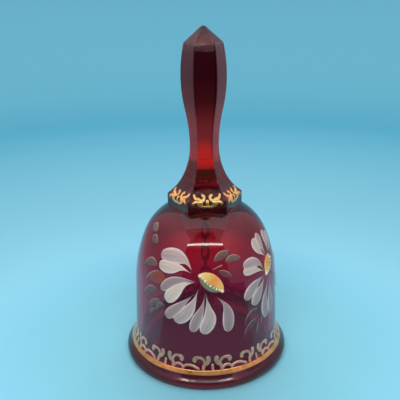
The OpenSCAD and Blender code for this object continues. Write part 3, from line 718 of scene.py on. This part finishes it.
def gold_material(name, bright, dull, rough_low=0.24, rough_high=0.5):
    """Fired gold in bright, smooth patches and dull, rougher ones, with a fine grain."""
    mat, nodes, links, shader = material(name)
    shader.inputs["Metallic"].default_value = 1.0
    place = nodes.new("ShaderNodeTexCoord").outputs["Object"]
    patch = noise(nodes, links, place, 260, 5.0, 0.6)
    colour = ramp(nodes, links, patch.outputs["Fac"], [(0.34, dull), (0.62, bright)])
    links.new(colour.outputs["Color"], shader.inputs["Base Color"])
    rough = add(nodes, "ShaderNodeMapRange", clamp=True)
    rough.inputs["From Min"].default_value = 0.3
    rough.inputs["From Max"].default_value = 0.7
    rough.inputs["To Min"].default_value = rough_high
    rough.inputs["To Max"].default_value = rough_low
    links.new(patch.outputs["Fac"], rough.inputs["Value"])
    links.new(rough.outputs["Result"], shader.inputs["Roughness"])
    fine = noise(nodes, links, place, 2200, 3.0, 0.6)
    bump = add(nodes, "ShaderNodeBump", Strength=0.25, Distance=0.0001)
    links.new(fine.outputs["Fac"], bump.inputs["Height"])
    links.new(bump.outputs["Normal"], shader.inputs["Normal"])
    return mat


def enamel_material(name, thin, body, edge, cover, streak=26.0, one_sided=False):
    """Brushed enamel: bristle streaks along the stroke, thinner and darker where the paint
    load is low, thick and light along its edges, or along one edge only."""
    mat, nodes, links, shader = material(name)
    shader.inputs["IOR"].default_value = 1.5
    shader.inputs["Roughness"].default_value = 0.32
    coord = nodes.new("ShaderNodeTexCoord")
    load = add(nodes, "ShaderNodeAttribute", attribute_name="load").outputs["Fac"]
    stretch = nodes.new("ShaderNodeMapping")
    stretch.inputs["Scale"].default_value = (1.6, streak, 1)
    links.new(coord.outputs["UV"], stretch.inputs["Vector"])
    bristle = noise(nodes, links, stretch.outputs["Vector"], 1.0, 3.0, 0.6)
    split = nodes.new("ShaderNodeSeparateXYZ")
    links.new(coord.outputs["UV"], split.inputs["Vector"])
    rim = ramp(nodes, links, split.outputs["Y"],
               [(0.0, (1, 1, 1)), (0.05, (0.9, 0.9, 0.9)), (0.2, (0.12, 0.12, 0.12)),
                (0.5, (0, 0, 0))] +
               ([] if one_sided else
                [(0.8, (0.12, 0.12, 0.12)), (0.95, (0.9, 0.9, 0.9)), (1.0, (1, 1, 1))]))
    thick = add(nodes, "ShaderNodeMath", operation="MULTIPLY_ADD")
    thick.inputs[1].default_value = 1.1
    links.new(bristle.outputs["Fac"], thick.inputs[0])
    links.new(load, thick.inputs[2])
    scaled = add(nodes, "ShaderNodeMath", operation="MULTIPLY")
    scaled.inputs[1].default_value = 0.62
    links.new(thick.outputs[0], scaled.inputs[0])
    base = ramp(nodes, links, scaled.outputs[0], [(0.75, thin), (1.0, body)])
    mix = add(nodes, "ShaderNodeMix", data_type="RGBA")
    links.new(rim.outputs["Color"], mix.inputs["Factor"])
    links.new(base.outputs["Color"], mix.inputs["A"])
    mix.inputs["B"].default_value = (*edge, 1)
    links.new(mix.outputs["Result"], shader.inputs["Base Color"])
    spread = add(nodes, "ShaderNodeMapRange", clamp=True)
    spread.inputs["From Min"].default_value = 0.6
    spread.inputs["From Max"].default_value = 1.5
    spread.inputs["To Min"].default_value = cover
    spread.inputs["To Max"].default_value = 1.0
    links.new(thick.outputs[0], spread.inputs["Value"])
    dense = add(nodes, "ShaderNodeMath", operation="MAXIMUM")
    links.new(spread.outputs["Result"], dense.inputs[0])
    links.new(rim.outputs["Color"], dense.inputs[1])
    links.new(dense.outputs[0], shader.inputs["Alpha"])
    bump = add(nodes, "ShaderNodeBump", Strength=0.5, Distance=0.00012)
    links.new(bristle.outputs["Fac"], bump.inputs["Height"])
    links.new(bump.outputs["Normal"], shader.inputs["Normal"])
    return mat


def heart_material():
    """Yellow enamel, orange towards one end, with a grey-green band down its lower side."""
    mat, nodes, links, shader = material("heart_enamel")
    shader.inputs["Roughness"].default_value = 0.3
    coord = nodes.new("ShaderNodeTexCoord")
    split = nodes.new("ShaderNodeSeparateXYZ")
    links.new(coord.outputs["UV"], split.inputs["Vector"])
    fleck = noise(nodes, links, coord.outputs["Object"], 600, 4.0, 0.6)
    shift = add(nodes, "ShaderNodeMath", operation="MULTIPLY_ADD")
    shift.inputs[1].default_value = 0.35
    links.new(fleck.outputs["Fac"], shift.inputs[0])
    links.new(split.outputs["X"], shift.inputs[2])
    gold_part = ramp(nodes, links, shift.outputs[0],
                     [(0.2, (0.85, 0.58, 0.20)), (0.5, (0.78, 0.44, 0.10)),
                      (0.72, (0.80, 0.26, 0.05)), (1.0, (0.82, 0.42, 0.12))])
    side = add(nodes, "ShaderNodeMath", operation="MULTIPLY_ADD")
    side.inputs[1].default_value = 0.12
    links.new(fleck.outputs["Fac"], side.inputs[0])
    links.new(split.outputs["Y"], side.inputs[2])
    mask = ramp(nodes, links, side.outputs[0], [(0.40, (0, 0, 0)), (0.50, (1, 1, 1))])
    mix = add(nodes, "ShaderNodeMix", data_type="RGBA")
    links.new(mask.outputs["Color"], mix.inputs["Factor"])
    mix.inputs["A"].default_value = (0.20, 0.19, 0.11, 1)
    links.new(gold_part.outputs["Color"], mix.inputs["B"])
    links.new(mix.outputs["Result"], shader.inputs["Base Color"])
    bump = add(nodes, "ShaderNodeBump", Strength=0.6, Distance=0.0002)
    links.new(fleck.outputs["Fac"], bump.inputs["Height"])
    links.new(bump.outputs["Normal"], shader.inputs["Normal"])
    return mat


def plaster_material():
    """Set plaster: chalky, mottled and pitted."""
    mat, nodes, links, shader = material("set_plaster")
    place = nodes.new("ShaderNodeTexCoord").outputs["Object"]
    mottle = noise(nodes, links, place, 700, 6.0, 0.6)
    colour = ramp(nodes, links, mottle.outputs["Fac"],
                  [(0.3, (0.55, 0.5, 0.42)), (0.7, (0.8, 0.77, 0.7))])
    links.new(colour.outputs["Color"], shader.inputs["Base Color"])
    shader.inputs["Roughness"].default_value = 0.9
    bump = add(nodes, "ShaderNodeBump", Strength=0.7, Distance=0.0002)
    links.new(mottle.outputs["Fac"], bump.inputs["Height"])
    links.new(bump.outputs["Normal"], shader.inputs["Normal"])
    return mat


# Surface colour by height: ruby, with a painted glow at the neck (0.59 to 0.71), painted shade
# round the handle's foot and collar (0.465 to 0.56) and painted shade over the handle's top
# (0.80 to 1.0).
RUBY_COLOUR_AND_PAINTED_LIGHT = [
    (0.0, (0.62, 0.10, 0.18)), (0.08, (0.86, 0.15, 0.32)), (0.28, (0.80, 0.12, 0.30)),
    (0.42, (0.58, 0.07, 0.12)), (0.465, (0.40, 0.04, 0.07)), (0.48, (0.14, 0.02, 0.03)),
    (0.50, (0.14, 0.02, 0.03)), (0.515, (0.36, 0.05, 0.08)), (0.56, (0.34, 0.05, 0.07)),
    (0.59, (0.75, 0.11, 0.08)), (0.64, (0.95, 0.18, 0.12)), (0.71, (1.0, 0.20, 0.14)),
    (0.80, (0.27, 0.035, 0.05)), (0.88, (0.16, 0.02, 0.04)), (1.0, (0.20, 0.03, 0.05)),
]
ruby = glass_material("ruby_glass", RUBY_COLOUR_AND_PAINTED_LIGHT, (0.92, 0.05, 0.30), 200, 0.95)
clapper_glass = glass_material("clapper_glass", [(0, (1, 1, 1))], (0.9, 0.25, 0.3), 160,
                               ground=False)
gold = gold_material("fired_gold", (1.0, 0.56, 0.18), (0.62, 0.31, 0.11))
gold_thin = gold_material("thin_gold", (1.0, 0.62, 0.42), (0.72, 0.42, 0.30), 0.35, 0.6)
gold_bright = gold_material("bright_gold", (1.0, 0.77, 0.28), (1.0, 0.56, 0.16), 0.25, 0.45)
gilt_wire = gold_material("gilt_wire", (0.8, 0.56, 0.22), (0.5, 0.34, 0.14))
white = enamel_material("white_enamel", (0.42, 0.29, 0.28), (0.72, 0.51, 0.41),
                        (0.86, 0.64, 0.58), 0.6)
heart = heart_material()
cream = enamel_material("cream_enamel", (0.75, 0.6, 0.3), (0.9, 0.76, 0.46),
                        (0.85, 0.66, 0.34), 0.98, 4.0)
olive = enamel_material("olive_enamel", (0.17, 0.11, 0.10), (0.36, 0.27, 0.21),
                        (0.62, 0.47, 0.38), 0.12, 12.0, one_sided=True)
rust = enamel_material("red_enamel", (0.14, 0.015, 0.01), (0.27, 0.045, 0.02),
                       (0.18, 0.07, 0.04), 0.5)
plaster = plaster_material()


def finish_piece(obj, mat, nodes):
    """Gives a piece its material and its body, and hides the CAD nodes it stands for."""
    obj.data.materials.clear()
    obj.data.materials.append(mat)
    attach(obj, "bell")
    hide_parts(*nodes)


finish_piece(glass_body(), ruby, ["bell_shell", "handle"])
finish_piece(petals(), white, ["petals"])
finish_piece(leaves(), olive, ["leaves"])
finish_piece(buds(), rust, ["bud"])
finish_piece(flower_centres(), heart, ["flower_centres"])
finish_piece(stamen_beads(), cream, ["stamen_beads"])
finish_piece(rim_band(), gold, ["rim_band"])
finish_piece(rim_scrolls(), gold_thin, ["rim_scrolls"])
finish_piece(collar_scrolls(), gold_bright, ["collar_scrolls"])

for name, node in frame["nodes"].items():
    if name == "clapper_drop":
        chosen = clapper_glass
    elif name == "hanger_cement":
        chosen = plaster
    elif name.startswith("chain_link") or name in (
            "clapper_ring", "clapper_pin", "clapper_ball", "hanger_eye"):
        chosen = gilt_wire
    else:
        continue
    for index in range(max(len(node.material_slots), 1)):
        if node.material_slots:
            node.material_slots[index].material = chosen
        else:
            node.data.materials.append(chosen)


# ---------------------------------------------------------------- stage, lights and camera
def stage_material():
    """Matt pale blue board coloured by distance from the middle of the floor: palest round the
    bell as a painted pool of light, a little darker by its rim as a painted shadow, deeper
    further out as painted falloff, and grey high up."""
    mat, nodes, links, shader = material("pale_board")
    place = nodes.new("ShaderNodeTexCoord").outputs["Object"]
    far = add(nodes, "ShaderNodeVectorMath", operation="LENGTH")
    links.new(place, far.inputs[0])
    scaled = add(nodes, "ShaderNodeMath", operation="MULTIPLY")
    scaled.inputs[1].default_value = 0.8
    links.new(far.outputs["Value"], scaled.inputs[0])
    # Painted light on the board: a shadow by the bell's rim, a pool of light round it and
    # falloff further out.
    colour = ramp(nodes, links, scaled.outputs[0],
                  [(0.06, (0.25, 0.63, 0.76)), (0.084, (0.265, 0.655, 0.835)),
                   (0.112, (0.30, 0.69, 0.86)), (0.188, (0.255, 0.61, 0.76)),
                   (0.48, (0.12, 0.465, 0.63)), (0.77, (0.22, 0.567, 0.695)),
                   (0.84, (0.46, 0.46, 0.50))])
    links.new(colour.outputs["Color"], shader.inputs["Base Color"])
    shader.inputs["Roughness"].default_value = 0.7
    shader.inputs["Specular IOR Level"].default_value = 0.1
    return mat


def stage():
    """Round floor that sweeps up into a wall all round: a flat disc, a quarter round and
    an upright."""
    flat, cove, wall = 700.0, 250.0, 700.0
    t = np.linspace(0, math.pi / 2, 12)
    outline = np.concatenate([[[0, 0], [300, 0]],
                              np.stack([flat + cove * np.sin(t), cove * (1 - np.cos(t))], 1),
                              [[flat + cove, wall]]])
    n = 96
    a = np.linspace(0, TAU, n, endpoint=False)
    points = np.stack([outline[:, :1] * np.cos(a), outline[:, :1] * np.sin(a),
                       np.repeat(outline[:, 1:], n, axis=1)], axis=-1).reshape(-1, 3)
    floor = new_mesh("studio_floor", points, ring_faces(len(outline), n)[:, ::-1])
    floor.data.materials.append(stage_material())


def card(name, points, faces, colour, glossy, through, glow=0.0):
    """Matt or glowing card that the camera doesn't see, only reflections or what is seen
    through the glass, as glossy and through say. Gives back its material."""
    piece = new_mesh(name, points, faces)
    mat, _, _, shader = material(name)
    shader.inputs["Base Color"].default_value = (*colour, 1)
    shader.inputs["Roughness"].default_value = 1.0
    shader.inputs["Emission Color"].default_value = (*colour, 1)
    shader.inputs["Emission Strength"].default_value = glow
    piece.data.materials.append(mat)
    piece.visible_camera = False
    piece.visible_diffuse = False
    piece.visible_shadow = False
    piece.visible_glossy = glossy
    piece.visible_transmission = through
    return mat


def front_flag():
    """Dark cloth on the floor and curved upright in front of the bell: an outline from the
    near edge to the top, turned part of the way round."""
    outline = np.array([[62.0, 1.0], [560.0, 4.0], [560.0, 400.0]])
    n, half = 40, math.radians(58)
    a = np.linspace(-half, half, n) - math.pi / 2
    points = np.stack([outline[:, :1] * np.cos(a), outline[:, :1] * np.sin(a),
                       np.repeat(outline[:, 1:], n, axis=1)], axis=-1).reshape(-1, 3)
    i, j = np.meshgrid(np.arange(2), np.arange(n - 1), indexing="ij")
    k = (i * n + j).ravel()
    cloth = card("dark_flag", points, np.stack([k, k + 1, k + 1 + n, k + n], axis=-1),
                 (0.02, 0.018, 0.02), True, False)
    nodes, links = cloth.node_tree.nodes, cloth.node_tree.links
    far = add(nodes, "ShaderNodeVectorMath", operation="LENGTH")
    links.new(nodes.new("ShaderNodeTexCoord").outputs["Object"], far.inputs[0])
    soft = ramp(nodes, links, far.outputs["Value"],
                [(0.07, (0.5, 0.5, 0.5)), (0.13, (0.8, 0.8, 0.8)), (0.2, (1, 1, 1))])
    links.new(soft.outputs["Color"], nodes["Principled BSDF"].inputs["Alpha"])


def floor_card(name, extent, z, colour, spot, full):
    """Card just above the floor, seen through the glass only: an oval patch that fades out
    towards its rim. The spot is its middle and two half axes in metres, full the share of
    the fade at which it is solid."""
    x, near, far = extent
    sheet = card(name, [(-x, near, z), (x, near, z), (x, far, z), (-x, far, z)],
                 [(0, 1, 2, 3)], colour, False, True)
    nodes, links = sheet.node_tree.nodes, sheet.node_tree.links
    middle, wide, long = spot
    move = nodes.new("ShaderNodeMapping")
    move.inputs["Location"].default_value = (0, -middle / long, 0)
    move.inputs["Scale"].default_value = (1 / wide, 1 / long, 1)
    links.new(nodes.new("ShaderNodeTexCoord").outputs["Object"], move.inputs["Vector"])
    glow = add(nodes, "ShaderNodeTexGradient", gradient_type="SPHERICAL")
    links.new(move.outputs["Vector"], glow.inputs["Vector"])
    soft = ramp(nodes, links, glow.outputs["Fac"], [(0.0, (0, 0, 0)), (full, (1, 1, 1))])
    links.new(soft.outputs["Color"], nodes["Principled BSDF"].inputs["Alpha"])


def small_cards():
    """A dark card before the handle's grip, a soft ceiling, a warm board at each side that
    grows brighter upwards, and two pale patches on the floor behind the bell."""
    x, near, far, z = 800.0, -150.0, 450.0, 700.0
    card("ceiling", [(-x, near, z), (x, near, z), (x, far, z), (-x, far, z)],
         [(0, 1, 2, 3)], (0.85, 0.8, 0.8), True, False, 0.9)
    for side in (-1, 1):
        x, near, far, low, high = 250.0 * side, -350.0, 320.0, 8.0, 520.0
        board = card("side_board", [(x, near, low), (x, far, low), (x, far, high),
                                    (x, near, high)],
                     [(0, 1, 2, 3)], (0.58, 0.31, 0.35), True, False, 0.6)
        nodes, links = board.node_tree.nodes, board.node_tree.links
        split = nodes.new("ShaderNodeSeparateXYZ")
        links.new(nodes.new("ShaderNodeTexCoord").outputs["Object"], split.inputs["Vector"])
        power = nodes.new("ShaderNodeMapRange")
        power.inputs["From Min"].default_value = 0.12
        power.inputs["From Max"].default_value = 0.35
        power.inputs["To Min"].default_value = 0.55
        power.inputs["To Max"].default_value = 1.8
        links.new(split.outputs["Z"], power.inputs["Value"])
        links.new(power.outputs["Result"],
                  nodes["Principled BSDF"].inputs["Emission Strength"])
    y, w, low, high = -72.0, 30.0, 100.0, 200.0
    shade = card("neck_flag", [(-w, y, low), (w, y, low), (w, y, high), (-w, y, high)],
                 [(0, 1, 2, 3)], (0.02, 0.018, 0.02), True, False)
    nodes, links = shade.node_tree.nodes, shade.node_tree.links
    split = nodes.new("ShaderNodeSeparateXYZ")
    links.new(nodes.new("ShaderNodeTexCoord").outputs["Object"], split.inputs["Vector"])
    fade = nodes.new("ShaderNodeMapRange")
    fade.interpolation_type = "SMOOTHSTEP"
    fade.inputs["From Min"].default_value = 0.104
    fade.inputs["From Max"].default_value = 0.145
    links.new(split.outputs["Z"], fade.inputs["Value"])
    links.new(fade.outputs["Result"], nodes["Principled BSDF"].inputs["Alpha"])
    floor_card("white_card", (70, 60, 220), 0.5, (0.68, 0.64, 0.64), (0.14, 0.055, 0.075), 0.45)
    floor_card("far_card", (130, 200, 690), 0.8, (0.66, 0.5, 0.46), (0.20, 0.12, 0.50), 1.0)


def area_light(name, place, aim, size, power, colour=(1, 1, 1)):
    """Rectangular soft light at place, facing aim, in metres and watts."""
    data = bpy.data.lights.new(name, "AREA")
    data.shape = "RECTANGLE"
    data.size, data.size_y = size
    data.energy = power
    data.color = colour
    obj = bpy.data.objects.new(name, data)
    obj.location = place
    obj.rotation_euler = (Vector(aim) - Vector(place)).to_track_quat("-Z", "Y").to_euler()
    bpy.context.scene.collection.objects.link(obj)
    return obj


def world():
    """Even pale sky above the stage."""
    sky = bpy.data.worlds.new("studio")
    bpy.context.scene.world = sky
    sky.use_nodes = True
    back = sky.node_tree.nodes["Background"]
    back.inputs["Color"].default_value = (0.80, 0.82, 0.84, 1)
    back.inputs["Strength"].default_value = 0.6


def camera():
    """Camera in front and above, placed and turned to the fitted view."""
    data = bpy.data.cameras.new("camera")
    data.sensor_width = 36.0
    data.lens = 50.4
    obj = bpy.data.objects.new("camera", data)
    bpy.context.scene.collection.objects.link(obj)
    bpy.context.scene.camera = obj
    pitch, roll, yaw = 0.3433, -0.0125, -0.0092
    ahead = Vector((math.sin(yaw) * math.cos(pitch), math.cos(yaw) * math.cos(pitch),
                    -math.sin(pitch)))
    right = Vector((math.cos(yaw), -math.sin(yaw), 0))
    up = right.cross(ahead)
    across = math.cos(roll) * right + math.sin(roll) * up
    above = -math.sin(roll) * right + math.cos(roll) * up
    turn = Matrix((across, above, -ahead)).transposed().to_4x4()
    obj.matrix_world = Matrix.Translation((0.0, -0.2698, 0.1811)) @ turn
    data.clip_start, data.clip_end = 0.01, 20


camera()
stage()
world()
front_flag()
small_cards()
bpy.context.scene.view_settings.view_transform = "Standard"
strip = area_light("top_strip", (0.0, -0.475, 0.476), (0, -0.03, 0.073), (0.75, 0.05), 1.8)
strip.visible_transmission = False
back = area_light("back_soft", (0.0, 0.6, 1.0), (0, 0, 0.05), (1.2, 0.6), 5)
back.visible_glossy = False
back.visible_transmission = False
fill = area_light("front_fill", (-0.1, -0.9, 0.6), (0, 0, 0.05), (0.8, 0.6), 5,
                  (1.0, 0.88, 0.78))
fill.visible_glossy = False
fill.visible_transmission = False
